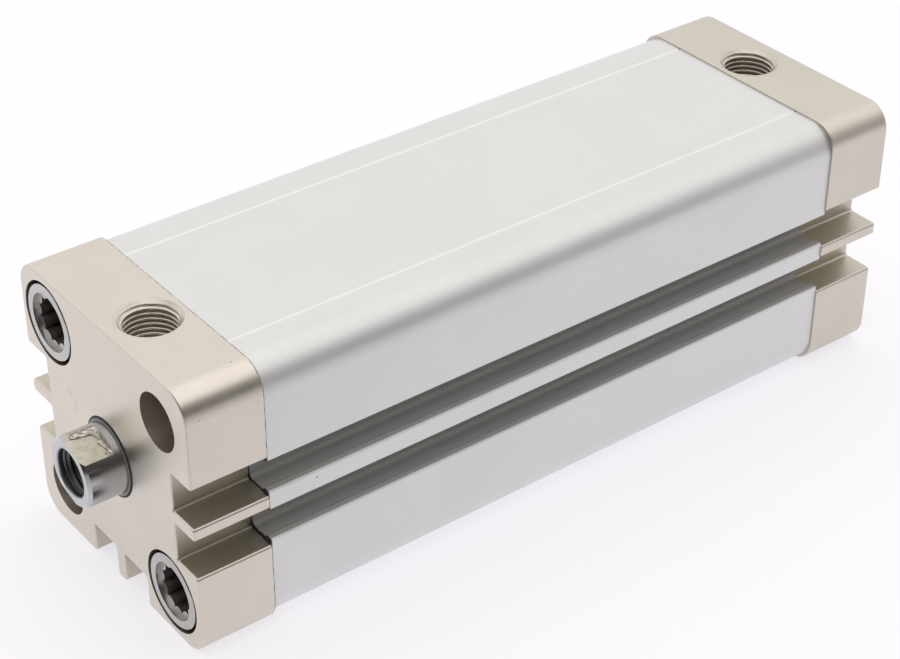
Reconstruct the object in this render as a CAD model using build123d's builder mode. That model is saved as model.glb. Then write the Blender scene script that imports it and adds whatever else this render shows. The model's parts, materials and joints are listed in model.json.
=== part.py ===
from build123d import *
import os

os.makedirs("parts", exist_ok=True)

# A compact pneumatic cylinder, in millimetres. The origin is the middle of the front mounting
# face, on the rod's axis. +X points out of the front along the rod, +Z up to the air ports.

# Main sizes
bore = 32.0
stroke = 100.0
rod_diameter = 12.0
rod_reach = 7.0
cap_length = 13.5
spigot_length = 2.5

# Tie screws, two from each end, with a twelve-lobe head and a female thread at both ends
head_radius = 6.45
head_height = 6.95
head_sink = 0.05
head_gap = 0.65
head_mouth_radius = 5.0
head_mouth_depth = 0.8
lobe_radius = 1.32
lobe_count = 12
socket_depth = 4.0
tie_thread_radius = 4.5
tie_thread_runout = 1.5
tie_undercut = 0.1
head_edge_chamfer = 0.1
tie_tip_chamfer = 0.3
tie_hole_gap = 0.25
tie_tip_step = 0.5
tie_relief_gap = 0.35
tie_relief_depth = 5.5
mount_thread_radius = 3.0
mount_thread_length = 12.0

# Walls that set the square body from the bore outwards
end_groove_depth = 1.2
end_groove_length = 1.6
tie_wall = 1.031
side_wall = 1.15
barrel_step = 0.35
cap_corner_radius = 4.5
barrel_corner_radius = 5.0

# Sensor slots, and the notches in the caps that they open into
rib_width = 2.3
slot_floor_wall = 1.5
notch_wall = 0.8
notch_round = 0.5
slot_inner_lip = 0.6
slot_outer_lip = 0.9
slot_undercut = 0.5
slot_lip_thickness = 1.1
slot_floor_round = 1.0
slot_edge_round = 0.3
mark_groove_inset = 9.25
mark_groove_width = 0.6
mark_groove_depth = 0.1

# Edges of the caps
outer_edge_round = 0.35
joint_edge_round = 0.15

# Air ports and their passages
port_radius = 4.864
port_depth = 8.0
port_chamfer = 0.34
port_joint_wall = 0.8
port_side = 3.0
passage_radius = 1.75
passage_wall = 0.4

# Rod guide in the front cap, from the face inwards
wiper_mouth_length = 0.8
wiper_lip_wall = 0.7
wiper_groove_length = 2.4
wiper_flange = 0.85
wiper_proud = 0.2
wiper_gap = 0.1
wiper_edge_chamfer = 0.2
wiper_relief = 0.4
land_length = 1.0
land_gap = 0.2
rod_seal_length = 3.2
rod_seal_height = 2.9
bushing_wall = 1.0

# Bumpers in the spigots
bumper_inner_wall = 1.2
bumper_width = 2.6
bumper_seat_depth = 1.5
bumper_proud = 0.5
end_gap = 0.05

# Piston
piston_gap = 0.3
lip_width = 0.7
seal_groove_length = 2.2
seal_groove_height = 3.1
web_width = 0.8
guide_zone_length = 3.5
magnet_wall = 3.0
wear_ring_wall = 1.35
wear_ring_chamfer = 0.3
seal_mouth_depth = 0.95
seal_back_gap = 0.3
rod_spigot_wall = 0.95
rod_spigot_engagement = 0.45
piston_ring_groove_height = 1.2
piston_ring_groove_depth = 1.1
screw_radius = 3.0
screw_head_radius = 6.5
screw_head_height = 2.3
screw_head_sink = 0.15
screw_head_gap = 0.3
screw_shank_length = 15.0
screw_hole_margin = 1.0
screw_hexagon = 4.0
screw_hexagon_depth = 1.5

# Rod end
rod_thread_radius = 4.0
rod_thread_depth = 14.0
rod_thread_chamfer = 0.3
rod_end_chamfer = 0.5
flat_depth = 1.0
flat_length = 5.5
flat_angle = 75.0

# Clearances
guide_fit = 0.03
lip_fit = 0.05
seat_fit = 0.02
thread_fit = 0.05
side_fit = 0.05
ring_fit = 0.1
spigot_gap = 0.15

# Sizes that follow from the ones above
bore_radius = bore / 2
rod_radius = rod_diameter / 2
tie_hole_radius = tie_thread_radius + tie_hole_gap
head_bore_radius = head_radius + head_gap
head_bore_depth = head_height + head_sink
end_groove_radius = bore_radius + end_groove_depth
tie_spacing = 2**0.5 * (end_groove_radius + tie_wall + tie_hole_radius)
tie_offset = tie_spacing / 2
body_half = tie_offset + head_bore_radius + side_wall
barrel_half = body_half - barrel_step
piston_length = 2 * (lip_width + seal_groove_length + web_width) + guide_zone_length
spigot_face_gap = bumper_proud + end_gap
barrel_length = stroke + piston_length + 2 * (spigot_length + spigot_face_gap)
overall_length = barrel_length + 2 * cap_length
spigot_radius = bore_radius - spigot_gap
slot_floor = end_groove_radius + slot_floor_wall
rib_half = rib_width / 2
notch_edge = tie_offset - head_bore_radius - notch_wall
notch_middle = (rib_half + notch_edge) / 2
mark_groove_offset = barrel_half - mark_groove_inset
wiper_mouth_radius = rod_radius + lip_fit + wiper_lip_wall + wiper_gap
wiper_groove_radius = wiper_mouth_radius + wiper_flange
rod_seal_radius = rod_radius + rod_seal_height
bushing_radius = rod_radius + bushing_wall
bumper_inner_radius = bushing_radius + bumper_inner_wall
bumper_outer_radius = bumper_inner_radius + bumper_width
port_chamfer_radius = port_radius + port_chamfer
port_inset = cap_length - port_joint_wall - port_chamfer_radius
passage_reach = bumper_outer_radius + passage_wall + passage_radius
passage_height = (passage_reach**2 - port_side**2) ** 0.5

# Each end has the same frame: its face, with local Y up and the normal pointing out of the cylinder
front_face = Plane(origin=(0, 0, 0), x_dir=(0, 1, 0), z_dir=(1, 0, 0))
rear_face = Plane(origin=(-overall_length, 0, 0), x_dir=(0, -1, 0), z_dir=(-1, 0, 0))
end_faces = {"front": front_face, "rear": rear_face}
head_places = [(-tie_offset, tie_offset), (tie_offset, -tie_offset)]
tip_places = [(tie_offset, tie_offset), (-tie_offset, -tie_offset)]

# Distances along the axis from the front face
front_joint = -cap_length
rear_joint = front_joint - barrel_length
piston_rear_face = rear_joint + spigot_length + spigot_face_gap
rear_groove_start = piston_rear_face + lip_width
rear_web_start = rear_groove_start + seal_groove_length
piston_split = rear_web_start + web_width
front_web_start = piston_split + guide_zone_length
front_groove_start = front_web_start + web_width
front_lip_start = front_groove_start + seal_groove_length
piston_front_face = front_lip_start + lip_width
screw_seat_depth = screw_head_height + screw_head_sink
screw_seat = piston_rear_face + screw_seat_depth
rod_spigot_end = piston_split - rod_spigot_engagement
wiper_groove_start = wiper_mouth_length
wiper_groove_end = wiper_groove_start + wiper_groove_length
rod_seal_start = wiper_groove_end + land_length
rod_seal_end = rod_seal_start + rod_seal_length
bushing_start = rod_seal_end + land_length
guide_end = cap_length + spigot_length

head_thread_end = head_sink + head_mouth_depth + socket_depth + mount_thread_length
tie_tip_depth = tie_relief_depth + tie_tip_step
tie_tip = overall_length - tie_tip_depth
tie_thread_length = cap_length - tie_tip_depth + tie_thread_runout

# Radii inside the piston
piston_radius = bore_radius - piston_gap
seal_groove_radius = piston_radius - seal_groove_height
wear_ring_outer_radius = bore_radius - lip_fit
wear_ring_inner_radius = wear_ring_outer_radius - wear_ring_wall
magnet_outer_radius = wear_ring_inner_radius - ring_fit
hub_radius = magnet_outer_radius - magnet_wall - ring_fit
rod_spigot_radius = screw_radius + thread_fit + rod_spigot_wall
piston_ring_groove_radius = rod_spigot_radius + piston_ring_groove_height
rod_hole_radius = rod_spigot_radius + lip_fit


def ring_section(start, length, inner_radius, outer_radius, notch_side):
    """A lip seal's section: a body with a V-shaped mouth on the side that faces the pressure."""
    middle = (inner_radius + outer_radius) / 2
    near, far = (start, start + length) if notch_side > 0 else (start + length, start)
    root = far - notch_side * seal_mouth_depth
    return Polyline(
        (near, inner_radius + seat_fit),
        (far, inner_radius),
        (root, middle),
        (far, outer_radius),
        (near, outer_radius - seal_back_gap),
        close=True,
    )


# Outline of a cap: a rounded square with two notches on three sides
with BuildSketch() as cap_outline:
    Rectangle(2 * body_half, 2 * body_half)
    with PolarLocations(body_half, 3, start_angle=180, angular_range=180, endpoint=True):
        with GridLocations(0, 2 * notch_middle, 1, 2):
            Rectangle(2 * (body_half - slot_floor), notch_edge - rib_half, mode=Mode.SUBTRACT)
    fillet(cap_outline.vertices().sort_by_distance((0, 0))[:-4], notch_round)
    fillet(cap_outline.vertices().sort_by_distance((0, 0))[-4:], cap_corner_radius)

# The twelve-lobe socket: a round hole with rounded teeth standing in from its wall
with BuildSketch() as lobed_socket:
    Circle(head_mouth_radius - seat_fit)
    with PolarLocations(head_mouth_radius, lobe_count):
        Circle(lobe_radius, mode=Mode.SUBTRACT)

# Both caps: the rear one is the front one's twin, turned about the vertical, without the rod guide
for name, face in end_faces.items():
    outward = Axis(face.origin, face.z_dir)
    port_spot = face.from_local_coords((port_side, body_half, -port_inset))
    port_seat = Plane(origin=port_spot, x_dir=face.z_dir, z_dir=(0, 0, 1))
    with BuildPart() as cap:
        with BuildSketch(face):
            add(cap_outline.sketch)
        extrude(amount=-cap_length)
        fillet(cap.faces().sort_by(outward)[-1].edges(), outer_edge_round)
        fillet(cap.faces().sort_by(outward)[0].edges(), joint_edge_round)
        with BuildSketch(face.offset(-cap_length)):
            Circle(spigot_radius)
        extrude(amount=-spigot_length)
        with Locations(face):
            with Locations(*head_places):
                CounterBoreHole(tie_hole_radius, head_bore_radius, head_bore_depth, cap_length)
            with Locations(*tip_places):
                CounterBoreHole(
                    tie_thread_radius + thread_fit,
                    tie_thread_radius + tie_relief_gap,
                    tie_relief_depth,
                    cap_length,
                )
        with Locations(port_seat):
            CounterSinkHole(port_radius, port_chamfer_radius, port_depth, 90)
        with BuildSketch(port_seat.offset(-port_depth)):
            Circle(passage_radius)
        extrude(amount=-(body_half - port_depth - passage_height), mode=Mode.SUBTRACT)
        with BuildSketch(face.offset(-port_inset)):
            with Locations((port_side, passage_height)):
                Circle(passage_radius)
        extrude(amount=-(guide_end - port_inset), mode=Mode.SUBTRACT)
        with BuildSketch(face.offset(-guide_end)):
            Circle(bumper_outer_radius)
            Circle(bumper_inner_radius, mode=Mode.SUBTRACT)
        extrude(amount=bumper_seat_depth, mode=Mode.SUBTRACT)
        if name == "front":
            guide_steps = [
                (0, wiper_mouth_length, wiper_mouth_radius),
                (wiper_groove_start, wiper_groove_length, wiper_groove_radius),
                (0, guide_end, rod_radius + land_gap),
                (rod_seal_start, rod_seal_length, rod_seal_radius),
                (bushing_start, guide_end - bushing_start, bushing_radius),
            ]
            for start, length, radius in guide_steps:
                with BuildSketch(face.offset(-start)):
                    Circle(radius)
                extrude(amount=-length, mode=Mode.SUBTRACT)
    cap.part.label = f"{name}_cap"
    export_step(cap.part, f"parts/{name}_cap.step")

# Barrel: the bore, four screw holes, six slots with lips and two fine marking grooves on top
slot_mouth_start = rib_half + slot_inner_lip
slot_mouth_width = notch_edge - slot_outer_lip - slot_mouth_start
slot_middle = slot_mouth_start + slot_mouth_width / 2
slot_width = slot_mouth_width + 2 * slot_undercut
slot_roof = barrel_half - slot_lip_thickness


def is_slot_mouth(vertex):
    """True at the corners where a slot opens in a side of the barrel."""
    across = sorted((abs(vertex.X), abs(vertex.Y)))
    return across[1] > barrel_half - seat_fit and across[0] < notch_edge


with BuildPart() as barrel:
    with BuildSketch(Plane.YZ.offset(front_joint)) as barrel_section:
        Rectangle(2 * barrel_half, 2 * barrel_half)
        with PolarLocations((slot_floor + slot_roof) / 2, 3, 180, 180, endpoint=True):
            with GridLocations(0, 2 * slot_middle, 1, 2):
                RectangleRounded(
                    slot_roof - slot_floor, slot_width, slot_floor_round, mode=Mode.SUBTRACT
                )
        with PolarLocations(barrel_half, 3, 180, 180, endpoint=True):
            with GridLocations(0, 2 * slot_middle, 1, 2):
                Rectangle(barrel_half - slot_floor, slot_mouth_width, mode=Mode.SUBTRACT)
        fillet(barrel_section.vertices().filter_by(is_slot_mouth), slot_edge_round)
        fillet(barrel_section.vertices().sort_by_distance((0, 0))[-4:], barrel_corner_radius)
        with Locations(*[(side * mark_groove_offset, barrel_half) for side in (-1, 1)]):
            Polygon(
                (-mark_groove_width / 2, 0),
                (0, -mark_groove_depth),
                (mark_groove_width / 2, 0),
                align=None,
                mode=Mode.SUBTRACT,
            )
        with GridLocations(tie_spacing, tie_spacing, 2, 2):
            Circle(tie_hole_radius, mode=Mode.SUBTRACT)
        Circle(bore_radius, mode=Mode.SUBTRACT)
    extrude(amount=-barrel_length)
    for joint, inwards in ((front_joint, -1), (rear_joint, 1)):
        with BuildSketch(Plane.YZ.offset(joint)):
            Circle(end_groove_radius)
        extrude(amount=inwards * end_groove_length, mode=Mode.SUBTRACT)
barrel.part.label = "barrel"
export_step(barrel.part, "parts/barrel.step")

# Tie screws: each pair starts in one cap's counterbores and ends deep in the other cap
for name, face in end_faces.items():
    outward = Axis(face.origin, face.z_dir)
    with BuildPart() as tie_screws:
        with BuildSketch(face.offset(-head_sink)):
            with Locations(*head_places):
                Circle(head_radius)
        extrude(amount=-head_height)
        chamfer(tie_screws.edges().group_by(outward)[-1], head_edge_chamfer)
        with BuildSketch(face.offset(-head_bore_depth)):
            with Locations(*head_places):
                Circle(tie_thread_radius - tie_undercut)
        extrude(amount=-(tie_tip - head_bore_depth))
        with BuildSketch(face.offset(-tie_tip)):
            with Locations(*head_places):
                Circle(tie_thread_radius)
        extrude(amount=tie_thread_length)
        with Locations(face.offset(-head_sink)):
            with Locations(*head_places):
                Hole(head_mouth_radius, head_mouth_depth)
        with BuildSketch(face.offset(-head_sink - head_mouth_depth)):
            with Locations(*head_places):
                add(lobed_socket.sketch)
        extrude(amount=-socket_depth, mode=Mode.SUBTRACT)
        for thread_end in (head_thread_end, tie_tip):
            with BuildSketch(face.offset(-thread_end)):
                with Locations(*head_places):
                    Circle(mount_thread_radius)
            extrude(amount=mount_thread_length, mode=Mode.SUBTRACT)
        chamfer(tie_screws.edges().group_by(outward)[0], tie_tip_chamfer)
    tie_screws.part.label = f"{name}_tie_screws"
    export_step(tie_screws.part, f"parts/{name}_tie_screws.step")

# Rings between the caps and the barrel, and the bumpers in the spigots
for name, face in end_faces.items():
    section = Plane(origin=face.origin, x_dir=face.z_dir, z_dir=-face.x_dir)
    ring_thickness = end_groove_radius - spigot_radius - side_fit
    ring_middle = (end_groove_radius + spigot_radius) / 2
    with BuildPart() as cap_ring:
        with BuildSketch(section):
            with Locations((-cap_length - end_groove_length / 2, ring_middle)):
                Circle(ring_thickness / 2)
        revolve(axis=Axis.X)
    cap_ring.part.label = f"{name}_cap_o_ring"
    export_step(cap_ring.part, f"parts/{name}_cap_o_ring.step")

    with BuildPart() as bumper:
        with BuildSketch(face.offset(-guide_end - bumper_proud)):
            Circle(bumper_outer_radius - side_fit)
            Circle(bumper_inner_radius + side_fit, mode=Mode.SUBTRACT)
        extrude(amount=bumper_proud + bumper_seat_depth)
        chamfer(bumper.edges().group_by(Axis(face.origin, face.z_dir))[0], bumper_proud / 2)
    bumper.part.label = f"{name}_bumper"
    export_step(bumper.part, f"parts/{name}_bumper.step")

# Rod guide: bushing, pressure seal and wiper, in the order in which the rod passes them
with BuildPart() as rod_bushing:
    with BuildSketch(Plane.YZ.offset(-guide_end + side_fit)):
        Circle(bushing_radius - seat_fit)
        Circle(rod_radius + guide_fit, mode=Mode.SUBTRACT)
    extrude(amount=guide_end - bushing_start - side_fit)
rod_bushing.part.label = "rod_bushing"
export_step(rod_bushing.part, "parts/rod_bushing.step")

with BuildPart() as rod_seal:
    with BuildSketch(Plane.XZ):
        with BuildLine():
            Polyline(
                (-rod_seal_start - side_fit, rod_radius + land_gap),
                (-rod_seal_start - side_fit, rod_seal_radius - seat_fit),
                (-rod_seal_end + side_fit, rod_seal_radius - seat_fit),
                (-rod_seal_end + side_fit + seal_mouth_depth, (rod_radius + rod_seal_radius) / 2),
                (-rod_seal_end + side_fit, rod_radius + lip_fit),
                close=True,
            )
        make_face()
    revolve(axis=Axis.X)
rod_seal.part.label = "rod_seal"
export_step(rod_seal.part, "parts/rod_seal.step")

with BuildPart() as rod_wiper:
    with BuildSketch(Plane.XZ):
        with BuildLine():
            Polyline(
                (wiper_proud, rod_radius + lip_fit),
                (wiper_proud, wiper_mouth_radius - wiper_gap - wiper_edge_chamfer),
                (wiper_proud - wiper_edge_chamfer, wiper_mouth_radius - wiper_gap),
                (-wiper_groove_start - side_fit, wiper_mouth_radius - wiper_gap),
                (-wiper_groove_start - side_fit, wiper_groove_radius - seat_fit),
                (-wiper_groove_end + side_fit, wiper_groove_radius - seat_fit),
                (-wiper_groove_end + side_fit, rod_radius + wiper_relief),
                (-wiper_groove_start, rod_radius + wiper_relief),
                close=True,
            )
        make_face()
    revolve(axis=Axis.X)
rod_wiper.part.label = "rod_wiper"
export_step(rod_wiper.part, "parts/rod_wiper.step")

# Piston, split at the rear web so that the magnet and the guide ring go on from behind
with BuildPart() as piston_front:
    front_steps = [
        (piston_split, guide_zone_length, hub_radius),
        (front_web_start, web_width, piston_radius),
        (front_groove_start, seal_groove_length, seal_groove_radius),
        (front_lip_start, lip_width, piston_radius),
    ]
    for start, length, radius in front_steps:
        with BuildSketch(Plane.YZ.offset(start)):
            Circle(radius)
        extrude(amount=length)
    with Locations(Plane.YZ.offset(piston_front_face)):
        CounterBoreHole(rod_hole_radius, piston_ring_groove_radius, piston_ring_groove_depth)
piston_front.part.label = "piston_front"
export_step(piston_front.part, "parts/piston_front.step")

with BuildPart() as piston_rear:
    rear_steps = [
        (piston_rear_face, lip_width, piston_radius),
        (rear_groove_start, seal_groove_length, seal_groove_radius),
        (rear_web_start, web_width, piston_radius),
    ]
    for start, length, radius in rear_steps:
        with BuildSketch(Plane.YZ.offset(start)):
            Circle(radius)
        extrude(amount=length)
    with Locations(Plane.YZ.offset(piston_split)):
        CounterBoreHole(
            screw_radius + ring_fit, rod_hole_radius, rod_spigot_engagement + side_fit
        )
    with BuildSketch(Plane.YZ.offset(piston_rear_face)):
        Circle(screw_head_radius + screw_head_gap)
    extrude(amount=screw_seat_depth, mode=Mode.SUBTRACT)
piston_rear.part.label = "piston_rear"
export_step(piston_rear.part, "parts/piston_rear.step")

# Rings round the piston
with BuildPart() as magnet_ring:
    with BuildSketch(Plane.YZ.offset(piston_split + side_fit)):
        Circle(magnet_outer_radius)
        Circle(hub_radius + ring_fit, mode=Mode.SUBTRACT)
    extrude(amount=guide_zone_length - 2 * side_fit)
magnet_ring.part.label = "magnet_ring"
export_step(magnet_ring.part, "parts/magnet_ring.step")

with BuildPart() as wear_ring:
    with BuildSketch(Plane.YZ.offset(piston_split + side_fit)):
        Circle(wear_ring_outer_radius)
        Circle(wear_ring_inner_radius, mode=Mode.SUBTRACT)
    extrude(amount=guide_zone_length - 2 * side_fit)
    chamfer(wear_ring.edges().sort_by(SortBy.LENGTH)[-2:], wear_ring_chamfer)
wear_ring.part.label = "wear_ring"
export_step(wear_ring.part, "parts/wear_ring.step")

for name, start, notch_side in (
    ("front", front_groove_start, 1),
    ("rear", rear_groove_start, -1),
):
    with BuildPart() as piston_seal:
        with BuildSketch(Plane.XZ):
            with BuildLine():
                ring_section(
                    start + side_fit,
                    seal_groove_length - 2 * side_fit,
                    seal_groove_radius + ring_fit,
                    bore_radius - guide_fit,
                    notch_side,
                )
            make_face()
        revolve(axis=Axis.X)
    piston_seal.part.label = f"{name}_piston_seal"
    export_step(piston_seal.part, f"parts/{name}_piston_seal.step")

# Rod with its end thread, wrench flats and the spigot that carries the piston
with BuildPart() as piston_rod:
    with BuildSketch(Plane.YZ.offset(piston_front_face)):
        Circle(rod_radius)
    extrude(amount=rod_reach - piston_front_face)
    with BuildSketch(Plane.YZ.offset(rod_spigot_end)):
        Circle(rod_spigot_radius)
    extrude(amount=piston_front_face - rod_spigot_end)
    chamfer(piston_rod.edges().sort_by(Axis.X)[-1], rod_end_chamfer)
    with Locations(Plane.YZ.offset(rod_reach)):
        CounterSinkHole(
            rod_thread_radius, rod_thread_radius + rod_thread_chamfer, rod_thread_depth, 90
        )
    with BuildSketch(Plane.YZ.offset(rod_reach)):
        with PolarLocations(rod_radius - flat_depth + rod_radius / 2, 2, start_angle=flat_angle):
            Rectangle(rod_radius, rod_diameter)
    extrude(amount=-flat_length, mode=Mode.SUBTRACT)
    with BuildSketch(Plane.YZ.offset(rod_spigot_end)):
        Circle(screw_radius + thread_fit)
    screw_hole_depth = screw_seat + screw_shank_length + screw_hole_margin - rod_spigot_end
    extrude(amount=screw_hole_depth, mode=Mode.SUBTRACT)
piston_rod.part.label = "piston_rod"
export_step(piston_rod.part, "parts/piston_rod.step")

with BuildPart() as piston_screw:
    with BuildSketch(Plane.YZ.offset(screw_seat)):
        Circle(screw_head_radius)
    extrude(amount=-screw_head_height)
    with BuildSketch(Plane.YZ.offset(screw_seat)):
        Circle(screw_radius)
    extrude(amount=screw_shank_length)
    with BuildSketch(Plane.YZ.offset(screw_seat - screw_head_height)):
        RegularPolygon(screw_hexagon / 2, 6, major_radius=False)
    extrude(amount=screw_hexagon_depth, mode=Mode.SUBTRACT)
piston_screw.part.label = "piston_screw"
export_step(piston_screw.part, "parts/piston_screw.step")

with BuildPart() as piston_o_ring:
    piston_ring_thickness = piston_ring_groove_depth - side_fit
    piston_ring_middle = (rod_spigot_radius + piston_ring_groove_radius) / 2
    with BuildSketch(Plane.XZ):
        with Locations((piston_front_face - piston_ring_groove_depth / 2, piston_ring_middle)):
            Circle(piston_ring_thickness / 2)
    revolve(axis=Axis.X)
piston_o_ring.part.label = "piston_o_ring"
export_step(piston_o_ring.part, "parts/piston_o_ring.step")
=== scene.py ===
import bpy
import json
import math
from mathutils import Matrix, Vector


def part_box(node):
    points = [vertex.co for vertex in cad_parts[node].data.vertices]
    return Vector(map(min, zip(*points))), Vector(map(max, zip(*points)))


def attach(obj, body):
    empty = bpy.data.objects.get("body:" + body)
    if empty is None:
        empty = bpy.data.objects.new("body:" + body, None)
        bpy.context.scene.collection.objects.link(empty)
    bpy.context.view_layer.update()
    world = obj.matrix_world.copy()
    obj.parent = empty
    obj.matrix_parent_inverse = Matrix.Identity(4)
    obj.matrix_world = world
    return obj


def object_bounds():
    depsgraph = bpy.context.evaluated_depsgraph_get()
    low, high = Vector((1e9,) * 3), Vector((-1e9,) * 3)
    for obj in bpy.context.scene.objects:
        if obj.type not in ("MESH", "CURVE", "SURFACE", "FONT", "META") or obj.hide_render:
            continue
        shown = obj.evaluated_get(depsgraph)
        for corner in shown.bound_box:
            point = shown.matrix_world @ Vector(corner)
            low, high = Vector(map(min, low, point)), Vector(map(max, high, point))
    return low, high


# A compact pneumatic cylinder: finishes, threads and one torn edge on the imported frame

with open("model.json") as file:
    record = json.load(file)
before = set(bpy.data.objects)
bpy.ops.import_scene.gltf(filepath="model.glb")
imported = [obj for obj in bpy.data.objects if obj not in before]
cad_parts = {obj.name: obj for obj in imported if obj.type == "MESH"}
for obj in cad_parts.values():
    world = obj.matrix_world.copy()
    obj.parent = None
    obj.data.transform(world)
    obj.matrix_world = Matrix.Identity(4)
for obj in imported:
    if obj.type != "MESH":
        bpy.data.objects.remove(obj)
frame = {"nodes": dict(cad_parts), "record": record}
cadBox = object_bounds()
mm = 0.001
cylinderBody = "cylinder_body"
rodBody = "piston_and_rod"
mounts = {mount["name"]: mount for mount in frame["record"]["mounts"]}
print("frame loaded:", len(frame["nodes"]), "nodes,", len(mounts), "mounts")


# Where the main faces lie. The rod looks along +X

frontFace = 0.0
rearFace = cadBox[0][0]
rodEnd = cadBox[1][0]
capTop = cadBox[1][2]
barrelLow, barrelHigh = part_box("barrel")
frontJoint = barrelHigh.x
rearJoint = barrelLow.x
barrelTop = barrelHigh.z
grooveSide = 14.9 * mm  # from the middle to each of the two marking grooves on top


# Camera

cameraLook = {
    "place": (0.12265, 0.24632, 0.20782),  # metres; the angles are in degrees
    "azimuth": 52.508,
    "elevation": 34.2365,
    "roll": 0.168,
    "lens": 87.89,
    "sensor": 36.0,
    "clipStart": 10 * mm,
}


def setCamera(look):
    az, el, roll = (math.radians(look[key]) for key in ("azimuth", "elevation", "roll"))
    back = Vector((math.cos(el) * math.cos(az), math.cos(el) * math.sin(az), math.sin(el)))
    right = Vector((-math.sin(az), math.cos(az), 0))
    up = back.cross(right)
    rightRolled = right * math.cos(roll) + up * math.sin(roll)
    upRolled = up * math.cos(roll) - right * math.sin(roll)
    data = bpy.data.cameras.new("camera")
    data.lens = look["lens"]
    data.sensor_width = look["sensor"]
    data.clip_start = look["clipStart"]
    cam = bpy.data.objects.new("camera", data)
    turn = Matrix((rightRolled, upRolled, back)).transposed().to_4x4()
    cam.matrix_world = Matrix.Translation(Vector(look["place"])) @ turn
    bpy.context.scene.collection.objects.link(cam)
    bpy.context.scene.camera = cam


setCamera(cameraLook)
print("camera set")


# Short ways to add shader nodes

xAxis, yAxis, zAxis = (1, 0, 0), (0, 1, 0), (0, 0, 1)


def addNode(tree, kind, settings=None, ins=None):
    made = tree.nodes.new(kind)
    for key, value in (settings or {}).items():
        setattr(made, key, value)
    for key, value in (ins or {}).items():
        socket = made.inputs[key]
        if isinstance(value, bpy.types.NodeSocket):
            tree.links.new(value, socket)
        else:
            socket.default_value = value
    return made


def mathStep(tree, operation, first, second=0.0, third=0.0):
    ins = {0: first, 1: second, 2: third}
    return addNode(tree, "ShaderNodeMath", {"operation": operation}, ins).outputs[0]


def vectorStep(tree, operation, first, second=(0, 0, 0), output="Vector"):
    ins = {0: first, 1: second}
    return addNode(tree, "ShaderNodeVectorMath", {"operation": operation}, ins).outputs[output]


def along(tree, place, direction):
    return vectorStep(tree, "DOT_PRODUCT", place, direction, "Value")


def farFrom(tree, place, middle):
    return vectorStep(tree, "DISTANCE", place, middle, "Value")


def rangeStep(tree, value, low, high, toLow=0.0, toHigh=1.0, soft=False):
    settings = {"interpolation_type": "SMOOTHSTEP" if soft else "LINEAR"}
    ins = {"Value": value, "From Min": low, "From Max": high, "To Min": toLow, "To Max": toHigh}
    return addNode(tree, "ShaderNodeMapRange", settings, ins).outputs["Result"]


def allOf(tree, *shares):
    result = shares[0]
    for share in shares[1:]:
        result = mathStep(tree, "MULTIPLY", result, share)
    return result


def anyOf(tree, *shares):
    result = shares[0]
    for share in shares[1:]:
        result = mathStep(tree, "MAXIMUM", result, share)
    return result


# A Mix node has its numbers on sockets 2 and 3, and its colours on 6 and 7

def mixNumber(tree, share, first, second):
    return addNode(tree, "ShaderNodeMix", None, {0: share, 2: first, 3: second}).outputs[0]


def asColour(value):
    return value if isinstance(value, bpy.types.NodeSocket) else (*value, 1)


def mixColour(tree, share, first, second):
    ins = {0: share, 6: asColour(first), 7: asColour(second)}
    return addNode(tree, "ShaderNodeMix", {"data_type": "RGBA"}, ins).outputs[2]


# A finish starts as a plain shader with the place on the object, and bumps are laid one on another

def startFinish(name):
    mat = bpy.data.materials.new(name)
    mat.use_nodes = True
    tree = mat.node_tree
    place = addNode(tree, "ShaderNodeTexCoord").outputs["Object"]
    return mat, tree, tree.nodes["Principled BSDF"], place


def raiseBy(mat, height, strength, depth):
    tree = mat.node_tree
    normal = tree.nodes["Principled BSDF"].inputs["Normal"]
    ins = {"Height": height, "Strength": strength, "Distance": depth}
    if normal.links:
        ins["Normal"] = normal.links[0].from_socket
    bump = addNode(tree, "ShaderNodeBump", None, ins)
    tree.links.new(bump.outputs["Normal"], normal)


# Noise. Nearly all of a cloud's values lie inside the wide span, and most of them in the middle one

wideSpan = (0.3, 0.7)
middleSpan = (0.35, 0.65)
cloudRoughness = 0.55


def cloud(tree, place, size, detail=3.0):
    ins = {"Vector": place, "Scale": 1 / size, "Detail": detail, "Roughness": cloudRoughness}
    return addNode(tree, "ShaderNodeTexNoise", None, ins).outputs["Fac"]


def streaked(tree, place, scale, detail):
    stretched = addNode(tree, "ShaderNodeMapping", None, {"Vector": place, "Scale": scale})
    return cloud(tree, stretched.outputs["Vector"], 1.0, detail)


# A white tent with a brighter roof and one open dark side, round a light table

tentLook = {
    "wall": (0.985, 0.975, 0.955),
    "roof": (1.34, 1.32, 1.29),
    "roofHeight": (0.62, 0.85),
    "opening": (0.042, 0.038, 0.028),
    "openingAzimuth": 55.0,
    "openingEdge": (-0.17, 0.5),
    "openingTop": (0.74, 0.58),
}
tableLook = {
    "size": 6.0,
    "gap": 0.02 * mm,
    "colour": (0.36, 0.355, 0.365),
    "glow": (0.66, 0.65, 0.675),
    "glowStrength": 1.0,
    "roughness": 0.9,
    "gloss": 0.0,
    "falloffAzimuth": 52.8,
    "falloffReach": (20 * mm, 100 * mm),
    "falloffTo": 0.62,
}


def levelDirection(degrees):
    return (math.cos(math.radians(degrees)), math.sin(math.radians(degrees)), 0)


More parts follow.
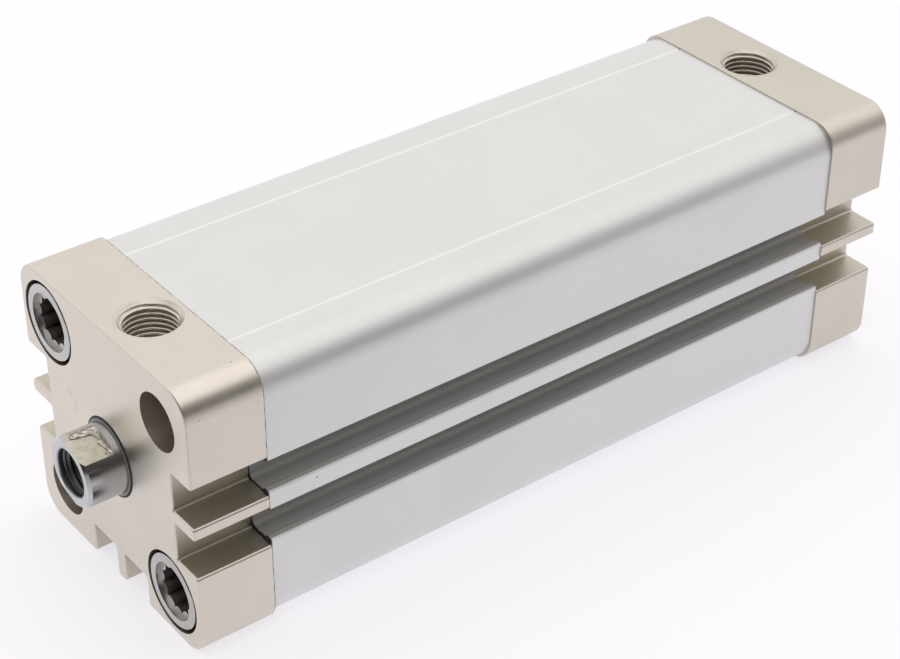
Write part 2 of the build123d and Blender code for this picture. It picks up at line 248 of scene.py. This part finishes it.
def setTent(look):
    world = bpy.data.worlds.new("tent")
    world.use_nodes = True
    tree = world.node_tree
    towards = addNode(tree, "ShaderNodeTexCoord").outputs["Generated"]
    height = along(tree, towards, zAxis)
    roof = rangeStep(tree, height, *look["roofHeight"], soft=True)
    low = rangeStep(tree, height, *look["openingTop"], soft=True)
    level = vectorStep(tree, "NORMALIZE", vectorStep(tree, "MULTIPLY", towards, (1, 1, 0)))
    beside = along(tree, level, levelDirection(look["openingAzimuth"]))
    beside = rangeStep(tree, beside, *look["openingEdge"], soft=True)
    tone = mixColour(tree, roof, look["wall"], look["roof"])
    tone = mixColour(tree, allOf(tree, low, beside), tone, look["opening"])
    tree.links.new(tone, tree.nodes["Background"].inputs["Color"])
    bpy.context.scene.world = world
    bpy.context.scene.view_settings.view_transform = "Standard"


def layTable(look):
    half = look["size"] / 2
    z = cadBox[0][2] - look["gap"]
    mesh = bpy.data.meshes.new("table")
    corners = [(-half, -half, z), (half, -half, z), (half, half, z), (-half, half, z)]
    mesh.from_pydata(corners, [], [(0, 1, 2, 3)])
    table = bpy.data.objects.new("table", mesh)
    bpy.context.scene.collection.objects.link(table)
    mat, tree, shader, place = startFinish("opalTable")
    # Painted shade: towards one side the table's colour fades and its glow dims, as if the light fell
    # off away from the middle
    reach = along(tree, place, levelDirection(look["falloffAzimuth"]))
    share = rangeStep(tree, reach, *look["falloffReach"], 0.0, 1 - look["falloffTo"])
    for socket, key in (("Base Color", "colour"), ("Emission Color", "glow")):
        tree.links.new(mixColour(tree, share, look[key], (0, 0, 0)), shader.inputs[socket])
    shader.inputs["Roughness"].default_value = look["roughness"]
    shader.inputs["Specular IOR Level"].default_value = look["gloss"]
    shader.inputs["Emission Strength"].default_value = look["glowStrength"]
    mesh.materials.append(mat)


setTent(tentLook)
layTable(tableLook)
print("tent and light table set")


# Metals: broad patches, drawn streaks and fine grain, with edges worn bright

edgeSamples = 6
edgeSpan = (0.995, 0.9)  # how far the rounded normal agrees with the true one, from flat to edge
wornSpan = (0.3, 0.6, 0.3, 1.0)  # an edge is less worn in some patches
streakDetail = 2.0
grainDetail = 2.0


def edgesIn(tree, width):
    bevel = addNode(tree, "ShaderNodeBevel", {"samples": edgeSamples}, {"Radius": width})
    true = addNode(tree, "ShaderNodeNewGeometry").outputs["Normal"]
    return rangeStep(tree, along(tree, bevel.outputs["Normal"], true), *edgeSpan)


def satinMetal(name, look):
    mat, tree, shader, place = startFinish(name)
    patches = cloud(tree, place, look["patchSize"])
    streaks = streaked(tree, place, look["streak"], streakDetail)
    grain = cloud(tree, place, look["grainSize"], grainDetail)
    tone = mixColour(tree, rangeStep(tree, patches, *middleSpan), look["colour"], look["tint"])
    streakShare = rangeStep(tree, streaks, *wideSpan, 0.0, look["streakShare"])
    tone = mixColour(tree, streakShare, tone, look["streakColour"])
    edges = edgesIn(tree, look["edgeWidth"])
    worn = allOf(tree, edges, rangeStep(tree, patches, *wornSpan), look["edgeShare"])
    tree.links.new(mixColour(tree, worn, tone, look["edgeColour"]), shader.inputs["Base Color"])
    dull = rangeStep(tree, streaks, *wideSpan, *look["roughness"])
    tree.links.new(dull, shader.inputs["Roughness"])
    shader.inputs["Metallic"].default_value = look["metallic"]
    height = mathStep(tree, "MULTIPLY_ADD", grain, look["grainShare"], streaks)
    raiseBy(mat, height, look["bump"], look["bumpDepth"])
    return mat


capLook = {
    "colour": (0.675, 0.625, 0.560),
    "tint": (0.70, 0.65, 0.585),
    "streakColour": (0.64, 0.59, 0.53),
    "streakShare": 0.10,
    "streak": (700, 700, 700),
    "patchSize": 15 * mm,
    "grainSize": 0.10 * mm,
    "grainShare": 1.5,
    "roughness": (0.36, 0.40),
    "metallic": 1.0,
    "edgeWidth": 0.3 * mm,
    "edgeShare": 0.35,
    "edgeColour": (0.82, 0.80, 0.76),
    "bump": 0.08,
    "bumpDepth": 0.01 * mm,
}
# Painted shade: the rear cap takes a darker copy of the cap finish, for the dimmer light that reaches
# it
rearCapShadedLook = {
    **capLook,
    "colour": (0.625, 0.58, 0.52),
    "tint": (0.65, 0.605, 0.545),
}
barrelLook = {
    **capLook,
    "colour": (0.745, 0.745, 0.745),
    "tint": (0.765, 0.765, 0.765),
    "streakColour": (0.72, 0.71, 0.70),
    "streak": (20, 1800, 1800),
    "streakShare": 0.12,
    "roughness": (0.42, 0.46),
    "metallic": 0.6,
    "edgeColour": (0.86, 0.86, 0.86),
    "bump": 0.05,
}
pistonLook = {
    **barrelLook,
    "streak": (2500, 60, 60),
    "metallic": 1.0,
    "roughness": (0.3, 0.4),
}
screwLook = {
    **capLook,
    "colour": (0.48, 0.47, 0.455),
    "tint": (0.55, 0.54, 0.525),
    "streakColour": (0.42, 0.40, 0.38),
    "roughness": (0.26, 0.38),
    "edgeColour": (0.74, 0.73, 0.71),
}
rodLook = {
    **capLook,
    "colour": (0.49, 0.50, 0.515),
    "tint": (0.53, 0.54, 0.555),
    "streakColour": (0.42, 0.42, 0.43),
    "streak": (1500, 120, 120),
    "patchSize": 2.5 * mm,
    "roughness": (0.19, 0.22),
    "edgeColour": (0.8, 0.8, 0.8),
    "edgeShare": 0.15,
}
# The dark brown tint patches are painted shade, for the shadows in the crumpled burr
tornSteelPatchShadeLook = {
    **rodLook,
    "colour": (0.64, 0.63, 0.60),
    "tint": (0.36, 0.32, 0.25),
    "patchSize": 0.8 * mm,
    "grainSize": 0.35 * mm,
    "roughness": (0.18, 0.40),
    "bump": 0.8,
    "bumpDepth": 0.08 * mm,
}
# The screws' threads are dark with oil and with painted shade, for the little light inside their
# holes
oiledShadedLook = {
    **capLook,
    "colour": (0.26, 0.21, 0.20),
    "tint": (0.32, 0.27, 0.255),
    "streakColour": (0.15, 0.12, 0.11),
    "roughness": (0.45, 0.60),
    "edgeColour": (0.35, 0.34, 0.32),
}
# The rod's bore thread is painted near black: painted shade, for the dark inside the bore
boreThreadShadeLook = {
    **oiledShadedLook,
    "colour": (0.115, 0.112, 0.115),
    "tint": (0.17, 0.168, 0.17),
}

frontCapMetal = satinMetal("champagneSatin", capLook)
rearCapShadedMetal = satinMetal("champagneSatinRearShaded", rearCapShadedLook)
barrelMetal = satinMetal("silverAnodised", barrelLook)
pistonMetal = satinMetal("turnedPiston", pistonLook)
screwMetal = satinMetal("greyZinc", screwLook)
rodMetal = satinMetal("polishedRod", rodLook)
tornSteel = satinMetal("tornSteel", tornSteelPatchShadeLook)
oiledShadedSteel = satinMetal("oiledShadedThread", oiledShadedLook)
boreShadedSteel = satinMetal("shadedBoreThread", boreThreadShadeLook)
print("metals mixed")


# Rubber, plastic and the magnet's mix: spotted with dust, and slightly uneven

rubberLook = {
    "colour": (0.010, 0.010, 0.011),
    "dust": (0.028, 0.028, 0.027),
    "spotSize": 0.6 * mm,
    "roughness": (0.5, 0.75),
    "bump": 0.3,
    "bumpDepth": 0.02 * mm,
}
plasticLook = {
    **rubberLook,
    "colour": (0.55, 0.50, 0.40),
    "dust": (0.62, 0.57, 0.46),
    "spotSize": 1.5 * mm,
    "roughness": (0.4, 0.6),
}
magnetLook = {
    **rubberLook,
    "colour": (0.03, 0.03, 0.032),
    "dust": (0.07, 0.07, 0.07),
    "spotSize": 0.8 * mm,
    "roughness": (0.5, 0.7),
}
bushingLook = {
    **rubberLook,
    "colour": (0.24, 0.18, 0.10),
    "dust": (0.33, 0.25, 0.15),
    "spotSize": 1.0 * mm,
    "roughness": (0.35, 0.5),
}


def rubberFinish(name, look):
    mat, tree, shader, place = startFinish(name)
    spots = cloud(tree, place, look["spotSize"])
    tone = mixColour(tree, rangeStep(tree, spots, *wideSpan), look["colour"], look["dust"])
    tree.links.new(tone, shader.inputs["Base Color"])
    dull = rangeStep(tree, spots, *wideSpan, *look["roughness"])
    tree.links.new(dull, shader.inputs["Roughness"])
    raiseBy(mat, spots, look["bump"], look["bumpDepth"])
    return mat


rubber = rubberFinish("blackRubber", rubberLook)
wiperRubber = rubberFinish("wiperRubber", rubberLook)
ringPlastic = rubberFinish("creamPlastic", plasticLook)
magnetMix = rubberFinish("magnetMix", magnetLook)
bushingMix = rubberFinish("bushingMix", bushingLook)
print("rubber and plastics mixed")


# Ways to paint over part of a finish, and to find that part by its place on the object

spotCore = 0.4  # the share of a spot's radius that is fully painted


def paintOver(mat, share, colour, roughness):
    tree = mat.node_tree
    shader = tree.nodes["Principled BSDF"]
    under = shader.inputs["Base Color"].links[0].from_socket
    tree.links.new(mixColour(tree, share, under, colour), shader.inputs["Base Color"])
    under = shader.inputs["Roughness"].links[0].from_socket
    tree.links.new(mixNumber(tree, share, under, roughness), shader.inputs["Roughness"])


def pressIn(mat, share, depth):
    raiseBy(mat, mathStep(mat.node_tree, "MULTIPLY", share, -1.0), 1.0, depth)


def placeIn(mat):
    for node in mat.node_tree.nodes:
        if node.type == "TEX_COORD":
            return node.outputs["Object"]


def bandAt(tree, value, middle, half, soft):
    off = mathStep(tree, "ABSOLUTE", mathStep(tree, "SUBTRACT", value, middle))
    return rangeStep(tree, off, half, max(half - soft, 0.0), soft=True)


def spotAt(tree, place, middle, radius):
    return rangeStep(tree, farFrom(tree, place, middle), radius, radius * spotCore, soft=True)


def fromEnds(tree, place):
    x = along(tree, place, xAxis)
    fromFront = mathStep(tree, "SUBTRACT", frontFace, x)
    fromRear = mathStep(tree, "SUBTRACT", x, rearFace)
    return mathStep(tree, "MINIMUM", fromFront, fromRear)


# The ring that a tool left round each port

portRingLook = {
    "radius": 5.55 * mm,
    "half": 0.10 * mm,
    "soft": 0.08 * mm,
    "underTop": (0.2 * mm, 0.1 * mm),
    "patchSize": 4 * mm,
    "patches": (0.4, 0.6, 0.2, 1.0),
    "colour": (0.045, 0.042, 0.030),
    "roughness": 0.5,
    "share": 0.2,
    "depth": 0.03 * mm,
}


def markPort(mat, mount, look):
    tree = mat.node_tree
    place = placeIn(mat)
    flat = vectorStep(tree, "MULTIPLY", place, (1, 1, 0))
    off = farFrom(tree, flat, (*mount["pos_m"][:2], 0))
    ring = bandAt(tree, off, look["radius"], look["half"], look["soft"])
    low, high = look["underTop"]
    onTop = rangeStep(tree, along(tree, place, zAxis), capTop - low, capTop - high)
    patchy = rangeStep(tree, cloud(tree, place, look["patchSize"]), *look["patches"])
    ring = allOf(tree, ring, onTop, patchy)
    paintOver(mat, allOf(tree, ring, look["share"]), look["colour"], look["roughness"])
    pressIn(mat, ring, look["depth"])


markPort(frontCapMetal, mounts["front_port"], portRingLook)
markPort(rearCapShadedMetal, mounts["rear_port"], portRingLook)


# Faint scratches on the front face

scratchLook = {
    "middle": (0, -10.8 * mm, 4.4 * mm),
    "halfSize": (0.4 * mm, 2.2 * mm, 3.4 * mm),
    "fade": 0.6,
    "stretch": (200, 4200, 170),
    "detail": 1.0,
    "tilt": 0.28,  # radians
    "lines": (0.60, 0.66),
    "colour": (0.40, 0.36, 0.33),
    "roughness": 0.5,
    "share": 0.5,
    "depth": 0.015 * mm,
}


def scratchFace(mat, look):
    tree = mat.node_tree
    place = placeIn(mat)
    within = []
    for axis, middle, half in zip((xAxis, yAxis, zAxis), look["middle"], look["halfSize"]):
        within.append(bandAt(tree, along(tree, place, axis), middle, half, half * look["fade"]))
    ins = {"Vector": place, "Angle": look["tilt"]}
    turned = addNode(tree, "ShaderNodeVectorRotate", {"rotation_type": "X_AXIS"}, ins)
    lines = streaked(tree, turned.outputs["Vector"], look["stretch"], look["detail"])
    share = allOf(tree, rangeStep(tree, lines, *look["lines"]), *within)
    paintOver(mat, allOf(tree, share, look["share"]), look["colour"], look["roughness"])
    pressIn(mat, share, look["depth"])


scratchFace(frontCapMetal, scratchLook)


# A few dark specks: place and radius in mm

speckLook = {"colour": (0.03, 0.03, 0.025), "roughness": 0.6, "share": 0.8}
capSpecks = [((-10.91, 20.04, 24.5), 0.16), ((-2.4, 24.45, 20.3), 0.14), ((-6.8, 24.4, 20.0), 0.12)]
barrelSpecks = [((-22.28, 24.15, 0.53), 0.22), ((-60.4, 19.0, 24.15), 0.10)]


def speckle(mat, specks, look):
    tree = mat.node_tree
    place = placeIn(mat)
    spots = [spotAt(tree, place, Vector(middle) * mm, radius * mm) for middle, radius in specks]
    share = allOf(tree, anyOf(tree, *spots), look["share"])
    paintOver(mat, share, look["colour"], look["roughness"])


speckle(frontCapMetal, capSpecks, speckLook)
speckle(barrelMetal, barrelSpecks, speckLook)
print("small marks made")


# The slots and the caps' notches are duller than the outer faces, and painted darker: painted shade,
# for the shade in these recesses

slotShadeLook = {
    "colour": (0.555, 0.55, 0.54),
    "roughness": 0.60,
    "face": barrelTop,
    "fromFace": (0.12 * mm, 0.4 * mm),
    "halfWidth": 13.0 * mm,
    "fade": 1.0 * mm,
    "soft": 0.1 * mm,
}
notchShadeLook = {
    "colour": (0.555, 0.52, 0.445),
    "roughness": 0.42,
    "face": capTop,
    "fromFace": (0.2 * mm, 0.4 * mm),
    "halfWidth": 9.6 * mm,
    "fade": 1.0 * mm,
    "soft": 0.1 * mm,
    "fromEnd": (0.2 * mm, 0.4 * mm),
}
# The rear notches take a lighter copy of this painted shade
rearNotchShadeLook = {**notchShadeLook, "colour": (0.58, 0.54, 0.465)}


def paintSlotShade(mat, look):
    tree = mat.node_tree
    place = placeIn(mat)
    y = mathStep(tree, "ABSOLUTE", along(tree, place, yAxis))
    z = along(tree, place, zAxis)
    down = mathStep(tree, "MULTIPLY", z, -1.0)
    low, high = look["fromFace"]
    sides = []
    for reach, beside in ((y, z), (down, y)):
        within = rangeStep(tree, reach, look["face"] - low, look["face"] - high, soft=True)
        clear = rangeStep(tree, reach, look["halfWidth"], look["halfWidth"] + look["fade"])
        middle = bandAt(tree, beside, 0, look["halfWidth"], look["soft"])
        sides.append(allOf(tree, within, clear, middle))
    share = anyOf(tree, *sides)
    if "fromEnd" in look:
        share = allOf(tree, share, rangeStep(tree, fromEnds(tree, place), *look["fromEnd"]))
    paintOver(mat, share, look["colour"], look["roughness"])


paintSlotShade(barrelMetal, slotShadeLook)
paintSlotShade(frontCapMetal, notchShadeLook)
paintSlotShade(rearCapShadedMetal, rearNotchShadeLook)


# The two marking grooves on top of the barrel get a painted highlight: lighter lines for the light
# their walls catch

grooveHighlightLook = {
    "half": 0.45 * mm,
    "soft": 0.3 * mm,
    "underTop": (0.3 * mm, 0.2 * mm),
    "colour": (0.95, 0.95, 0.95),
    "roughness": 0.5,
    "share": 0.38,
}


def paintGrooveHighlights(mat, look):
    tree = mat.node_tree
    place = placeIn(mat)
    y = mathStep(tree, "ABSOLUTE", along(tree, place, yAxis))
    low, high = look["underTop"]
    onTop = rangeStep(tree, along(tree, place, zAxis), barrelTop - low, barrelTop - high)
    share = allOf(tree, bandAt(tree, y, grooveSide, look["half"], look["soft"]), onTop, look["share"])
    paintOver(mat, share, look["colour"], look["roughness"])


paintGrooveHighlights(barrelMetal, grooveHighlightLook)


# Dark lines where the caps meet the barrel, partly grime and partly painted shade from the gaps, and
# dots of painted shade where the marking grooves end

jointShadeLook = {
    "colour": (0.045, 0.042, 0.030),
    "roughness": 0.7,
    "frontShare": 0.85,
    "frontHalf": 0.18 * mm,
    "rearShare": 0.12,
    "rearHalf": 0.05 * mm,
    "soft": 0.05 * mm,
    "waver": 0.12 * mm,
    "waverSize": 1.2 * mm,
    "dotRadius": 0.26 * mm,
    "dotShare": 0.6,
}


def paintJointShade(mat, look):
    tree = mat.node_tree
    place = placeIn(mat)
    x = along(tree, place, xAxis)
    swing = look["waver"] / 2
    waver = rangeStep(tree, cloud(tree, place, look["waverSize"]), *wideSpan, -swing, swing)
    wavering = mathStep(tree, "ADD", x, waver)
    front = bandAt(tree, wavering, frontJoint, look["frontHalf"], look["soft"])
    front = allOf(tree, front, look["frontShare"])
    rear = bandAt(tree, x, rearJoint, look["rearHalf"], look["soft"])
    rear = allOf(tree, rear, look["rearShare"])
    dots = []
    for side in (-grooveSide, grooveSide):
        dots.append(spotAt(tree, place, (rearJoint, side, barrelTop), look["dotRadius"]))
    dots = allOf(tree, anyOf(tree, *dots), look["dotShare"])
    paintOver(mat, anyOf(tree, front, rear, dots), look["colour"], look["roughness"])


for metal in (frontCapMetal, rearCapShadedMetal, barrelMetal):
    paintJointShade(metal, jointShadeLook)
print("slots, grooves and joints shaded")


# Inside the screw heads the zinc is painted darker the deeper it lies: painted shade

socketShadeLook = {
    "fromEnd": (1.0 * mm, 2.6 * mm),
    "colour": (0.21, 0.17, 0.16),
    "roughness": 0.5,
    "share": 0.95,
}


def paintSocketShade(mat, look):
    tree = mat.node_tree
    deep = fromEnds(tree, placeIn(mat))
    share = rangeStep(tree, deep, *look["fromEnd"], 0.0, look["share"], soft=True)
    paintOver(mat, share, look["colour"], look["roughness"])


paintSocketShade(screwMetal, socketShadeLook)


# The wrench flats are milled, not polished: sizes in mm

flatLook = {
    "angle": 75.0,  # degrees, from +Y towards +Z
    "height": 5.0,  # from the rod's axis
    "length": 5.5,
    "skin": 0.03,
    "soft": 0.01,
    "startSoft": 0.02,
    "colour": (0.70, 0.68, 0.62),
    "shade": (0.56, 0.53, 0.45),
    "roughness": 0.36,
    "stretch": (700, 1500, 1500),
    "detail": 3.0,
}
flatStart = round(rodEnd / mm - flatLook["length"], 3)


def millFlats(mat, look):
    tree = mat.node_tree
    place = placeIn(mat)
    angle = math.radians(look["angle"])
    off = mathStep(tree, "ABSOLUTE", along(tree, place, (0, math.cos(angle), math.sin(angle))))
    onFlat = bandAt(tree, off, look["height"] * mm, look["skin"] * mm, look["soft"] * mm)
    low, high = (flatStart - look["startSoft"]) * mm, (flatStart + look["startSoft"]) * mm
    ahead = rangeStep(tree, along(tree, place, xAxis), low, high)
    strokes = streaked(tree, place, look["stretch"], look["detail"])
    tone = mixColour(tree, rangeStep(tree, strokes, *middleSpan), look["colour"], look["shade"])
    paintOver(mat, allOf(tree, onFlat, ahead), tone, look["roughness"])


millFlats(rodMetal, flatLook)


# Grease with a painted sheen on the wiper's lip, and painted shade inside the rod's bore

# The lighter grey on the wiper's lip is grease with a painted sheen
greaseSheenLook = {
    "radius": (6.35 * mm, 6.55 * mm),
    "colour": (0.36, 0.35, 0.32),
    "roughness": 0.35,
    "share": 0.85,
}
# Painted shade: the rod is painted near black round its axis, inside the bore
boreShadeLook = {
    "radius": (4.05 * mm, 4.25 * mm),
    "colour": (0.11, 0.107, 0.11),
    "roughness": 0.5,
    "share": 0.95,
}


def paintNearAxis(mat, look):
    tree = mat.node_tree
    flat = vectorStep(tree, "MULTIPLY", placeIn(mat), (0, 1, 1))
    radius = vectorStep(tree, "LENGTH", flat, output="Value")
    share = rangeStep(tree, radius, *look["radius"], look["share"], 0.0)
    paintOver(mat, share, look["colour"], look["roughness"])


paintNearAxis(wiperRubber, greaseSheenLook)
paintNearAxis(rodMetal, boreShadeLook)
print("screws, rod and wiper shaded")


# Every node of the frame gets its finish

finishOf = {
    "front_cap": frontCapMetal,
    "rear_cap": rearCapShadedMetal,
    "barrel": barrelMetal,
    "front_tie_screws": screwMetal,
    "rear_tie_screws": screwMetal,
    "piston_rod": rodMetal,
    "piston_screw": screwMetal,
    "piston_front": pistonMetal,
    "piston_rear": pistonMetal,
    "rod_wiper": wiperRubber,
    "rod_seal": rubber,
    "rod_bushing": bushingMix,
    "front_bumper": rubber,
    "rear_bumper": rubber,
    "front_cap_o_ring": rubber,
    "rear_cap_o_ring": rubber,
    "piston_o_ring": rubber,
    "front_piston_seal": rubber,
    "rear_piston_seal": rubber,
    "wear_ring": ringPlastic,
    "magnet_ring": magnetMix,
}
for nodeName, finish in finishOf.items():
    mesh = frame["nodes"][nodeName].data
    mesh.materials.clear()
    mesh.materials.append(finish)
print("finishes given to", len(finishOf), "nodes")


# A new piece has its mesh, a finish and a body to ride on

def addPiece(name, points, faces, move, finish, ridesOn):
    mesh = bpy.data.meshes.new(name)
    mesh.from_pydata([move @ Vector(point) for point in points], [], faces)
    mesh.materials.append(finish)
    mesh.shade_smooth()
    piece = bpy.data.objects.new(name, mesh)
    bpy.context.scene.collection.objects.link(piece)
    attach(piece, ridesOn)


# Female threads: closed sleeves that stand in from the wall of their hole, sizes in mm

portThread = {
    "major": 4.864,
    "minor": 4.283,
    "pitch": 0.907,
    "depth": 7.9,
    "mouth": 5.204,
    "steps": 96,
}
rodThread = {
    "major": 4.0,
    "minor": 3.66,
    "pitch": 1.0,
    "depth": 12.4,
    "mouth": 4.0,
    "steps": 72,
    "setBack": 1.0,
}
screwThread = {
    "major": 3.0,
    "minor": 2.46,
    "pitch": 1.0,
    "depth": 8.0,
    "mouth": 3.3,
    "steps": 60,
    "inHead": 4.85,
    "inTip": 6.0,
}
headThread = {**screwThread, "mouth": screwThread["major"]}
threadShape = {
    "skin": 0.02,  # how far the turns' roots stand in from the wall
    "back": 0.05,  # how far the sleeve's back reaches into the wall
    "perTurn": 12,
    "rootFlat": 1 / 8,
    "crestFlat": 1 / 4,
}


def threadHeight(turns, shape):
    turn = turns % 1.0
    flank = (1 - shape["rootFlat"] - shape["crestFlat"]) / 2
    if turn < shape["rootFlat"]:
        return 0.0
    if turn < shape["rootFlat"] + flank:
        return (turn - shape["rootFlat"]) / flank
    if turn < 1 - flank:
        return 1.0
    return (1 - turn) / flank


def threadRadius(look, shape, deep, step):
    height = threadHeight(deep / look["pitch"] + step / look["steps"], shape)
    wall = look["major"] - shape["skin"]
    radius = wall - (look["major"] - look["minor"]) * height
    cone = look["mouth"] - deep
    return min(max(radius, cone), wall)


def threadPoints(look, shape):
    rings = int(look["depth"] / look["pitch"] * shape["perTurn"])
    start = look["mouth"] - look["major"]  # the sleeve starts below the mouth's chamfer
    depths = [start + (look["depth"] - start) * ring / rings for ring in range(rings + 1)]
    back = look["major"] + shape["back"]
    loops = [(deep, None) for deep in depths] + [(depths[-1], back), (depths[0], back)]
    points = []
    for deep, plain in loops:
        for step in range(look["steps"]):
            angle = 2 * math.pi * step / look["steps"]
            radius = plain or threadRadius(look, shape, deep, step)
            points.append((radius * math.cos(angle), radius * math.sin(angle), -deep))
    return points


def sleeveFaces(loops, steps):
    faces = []
    for ring in range(loops):
        here, after = ring * steps, (ring + 1) % loops * steps
        for step in range(steps):
            beside = (step + 1) % steps
            faces.append((here + step, here + beside, after + beside, after + step))
    return faces


def cutThread(name, mouth, outward, look, finish, ridesOn):
    points = threadPoints(look, threadShape)
    faces = sleeveFaces(len(points) // look["steps"], look["steps"])
    turn = outward.to_track_quat("Z", "Y").to_matrix().to_4x4()
    move = Matrix.Translation(mouth) @ turn @ Matrix.Scale(mm, 4)
    addPiece(name, points, faces, move, finish, ridesOn)


def cutPortThreads():
    for endName, finish in (("front", frontCapMetal), ("rear", rearCapShadedMetal)):
        mount = mounts[f"{endName}_port"]
        mouth = Vector((*mount["pos_m"][:2], capTop))
        outward = Vector(mount["axis"])
        cutThread(f"{endName}PortThread", mouth, outward, portThread, finish, cylinderBody)


def cutScrewThreads():
    for mountName, mount in mounts.items():
        if not mountName.endswith(("left_thread", "right_thread")):
            continue
        y, z = mount["pos_m"][1:]
        outward = Vector(mount["axis"])
        atFront = outward.x > 0
        inHead = (y * z < 0) == atFront  # the two ends' heads are on different diagonals
        face = frontFace if atFront else rearFace
        seat = screwThread["inHead" if inHead else "inTip"]
        mouth = Vector((face - outward.x * seat * mm, y, z))
        end, level, hand = mountName.split("_")[:3]
        pieceName = f"{end}{level.title()}{hand.title()}ScrewThread"
        look = headThread if inHead else screwThread
        cutThread(pieceName, mouth, outward, look, oiledShadedSteel, cylinderBody)


def cutRodThread():
    mouth = Vector((rodEnd - rodThread["setBack"] * mm, 0, 0))
    cutThread("rodEndThread", mouth, Vector(xAxis), rodThread, boreShadedSteel, rodBody)


cutPortThreads()
cutScrewThreads()
cutRodThread()
print("threads cut")


# The torn edge that the milling cutter left where the upper flat ends: sizes in mm

burrLook = {
    "rodRadius": 6.0,
    "halfWidth": 3.25,
    "reach": (0.35, 1.35),  # how far it runs out over the flat
    "reachWave": 1.3,
    "sideReach": 4.4,  # on one side it runs on along the flat's edge
    "sideFrom": (-1.5, -2.3),
    "lift": (0.05, 0.34),  # how high it is crumpled up
    "liftWave": (3.1, 2.2),
    "slopePower": 2.2,
    "sideSlope": 6,
    "sideLeast": 0.05,
    "overlap": 0.03,  # into the rod, where the flat starts
    "root": 0.05,  # under the flat
    "columns": 72,
    "rows": 26,
    "seed": 11,
    "liftSeed": 14,
}
waveShape = {"count": 4, "step": 2.1, "shift": 1.7}


def wave(at, seed, shape):
    total, weight = 0.0, 0.0
    for turn in range(1, shape["count"] + 1):
        share = 1 / turn
        total += share * math.sin(at * turn * shape["step"] + seed * turn * shape["shift"])
        weight += share
    return 0.5 + 0.5 * total / weight


def burrReach(look, across):
    low, high = look["reach"]
    reach = low + (high - low) * wave(across * look["reachWave"], look["seed"], waveShape)
    start, end = look["sideFrom"]
    turned = min(max((across - start) / (end - start), 0.0), 1.0)
    return reach + (look["sideReach"] - reach) * turned * turned * (3 - 2 * turned)


def burrHeight(look, across, ahead):
    roof = (look["rodRadius"] ** 2 - across ** 2) ** 0.5 - flatLook["height"]
    side = look["sideSlope"] * (1 - abs(across) / look["halfWidth"]) + look["sideLeast"]
    acrossWave, aheadWave = look["liftWave"]
    low, high = look["lift"]
    lift = wave(across * acrossWave + ahead * aheadWave, look["liftSeed"], waveShape)
    lift = low + (high - low) * lift
    slope = roof * max(0.0, 1 - ahead) ** look["slopePower"]
    return min(roof, max(slope, lift) * min(1.0, side))


def burrPoints(look):
    points = []
    for onTop in (True, False):
        for column in range(look["columns"] + 1):
            across = look["halfWidth"] * (2 * column / look["columns"] - 1)
            reach = burrReach(look, across)
            for row in range(look["rows"] + 1):
                ahead = reach * (row / look["rows"])
                high = burrHeight(look, across, ahead) if onTop else -look["root"]
                x = flatStart - look["overlap"] + ahead
                points.append((x, across, flatLook["height"] + high))
    return points


def burrFaces(columns, rows):
    faces, rims = [], []
    stride = rows + 1
    layer = (columns + 1) * stride
    for column in range(columns):
        for row in range(rows):
            a = column * stride + row
            b, c, d = a + 1, a + stride + 1, a + stride
            faces += [(a, b, c, d), (layer + d, layer + c, layer + b, layer + a)]
    for column in range(columns):
        near, far = column * stride, (column + 1) * stride
        rims += [(near, far), (far + rows, near + rows)]
    for row in range(rows):
        last = columns * stride + row
        rims += [(row + 1, row), (last, last + 1)]
    return faces + [(a, b, layer + b, layer + a) for a, b in rims]


def growBurr(name, look):
    faces = burrFaces(look["columns"], look["rows"])
    move = Matrix.Rotation(math.radians(flatLook["angle"] - 90), 4, "X") @ Matrix.Scale(mm, 4)
    addPiece(name, burrPoints(look), faces, move, tornSteel, rodBody)


growBurr("flatBurr", burrLook)
print("burr grown")
